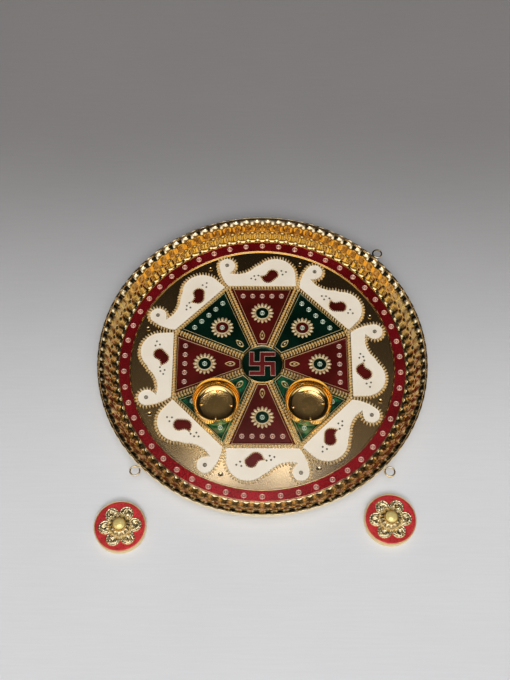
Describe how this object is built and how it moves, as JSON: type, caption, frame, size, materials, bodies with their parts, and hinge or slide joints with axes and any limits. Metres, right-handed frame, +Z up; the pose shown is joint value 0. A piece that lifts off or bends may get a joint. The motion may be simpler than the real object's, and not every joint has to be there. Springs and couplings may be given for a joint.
{
  "type": "kumkum tray",
  "caption": "Round gold-plated ritual tray with fluted rim, enamelled paisley and petal relief, fixed cups and loose flower-topped cap lids.",
  "frame": {"origin": "centre of the tray's flat underside, on the table", "axes": "+Z up out of the tray, +Y away from the viewer, +X to the viewer's right; the swastika stands upright along +Y and the two loose lids lie in front at -Y"},
  "size_m": [0.2038, 0.2223, 0.014],
  "materials": {
    "gold": "pressed metal with bright gold plating",
    "bright_gold": "smooth mirror gold plating",
    "dark_red_enamel": "glossy poured enamel, dark red",
    "bright_red_enamel": "glossy translucent enamel, bright red",
    "green_enamel": "glossy poured enamel, dark green",
    "cream_enamel": "satin enamel, cream",
    "yellow_stone": "clear yellow imitation stone, foiled"
  },
  "bodies": {
    "tray": {"tray_pan": "gold", "band_enamel": "dark_red_enamel", "paisley_enamel_back": "cream_enamel", "teardrop_enamel_back": "dark_red_enamel", "segment_enamel_back": "dark_red_enamel", "rosette_enamel_back": "green_enamel", "paisley_enamel_back_left": "cream_enamel", "teardrop_enamel_back_left": "dark_red_enamel", "segment_enamel_back_left": "green_enamel", "rosette_enamel_back_left": "dark_red_enamel", "paisley_enamel_left": "cream_enamel", "teardrop_enamel_left": "dark_red_enamel", "segment_enamel_left": "dark_red_enamel", "rosette_enamel_left": "green_enamel", "paisley_enamel_front_left": "cream_enamel", "teardrop_enamel_front_left": "dark_red_enamel", "segment_enamel_front_left": "green_enamel", "paisley_enamel_front": "cream_enamel", "teardrop_enamel_front": "dark_red_enamel", "segment_enamel_front": "dark_red_enamel", "rosette_enamel_front": "green_enamel", "paisley_enamel_front_right": "cream_enamel", "teardrop_enamel_front_right": "dark_red_enamel", "segment_enamel_front_right": "green_enamel", "paisley_enamel_right": "cream_enamel", "teardrop_enamel_right": "dark_red_enamel", "segment_enamel_right": "dark_red_enamel", "rosette_enamel_right": "green_enamel", "paisley_enamel_back_right": "cream_enamel", "teardrop_enamel_back_right": "dark_red_enamel", "segment_enamel_back_right": "green_enamel", "rosette_enamel_back_right": "dark_red_enamel", "medallion_enamel": "green_enamel", "swastika": "bright_red_enamel", "cup_left": "bright_gold", "cup_right": "bright_gold", "eye_back_right": "gold", "eye_front_left": "gold", "eye_front_right": "gold"},
    "lid_left": {"lid_left_cap": "bright_gold", "lid_left_enamel": "bright_red_enamel", "lid_left_flower": "gold", "lid_left_bezel": "gold", "lid_left_stone": "yellow_stone"},
    "lid_right": {"lid_right_cap": "bright_gold", "lid_right_enamel": "bright_red_enamel", "lid_right_flower": "gold", "lid_right_bezel": "gold", "lid_right_stone": "yellow_stone"}
  },
  "joints": [
    {"name": "lid_left_lift", "type": "slide", "parent": "tray", "child": "lid_left", "axis": [0, 0, 1], "range_m": [0, 0.05]},
    {"name": "lid_right_lift", "type": "slide", "parent": "tray", "child": "lid_right", "axis": [0, 0, 1], "range_m": [0, 0.05]}
  ]
}
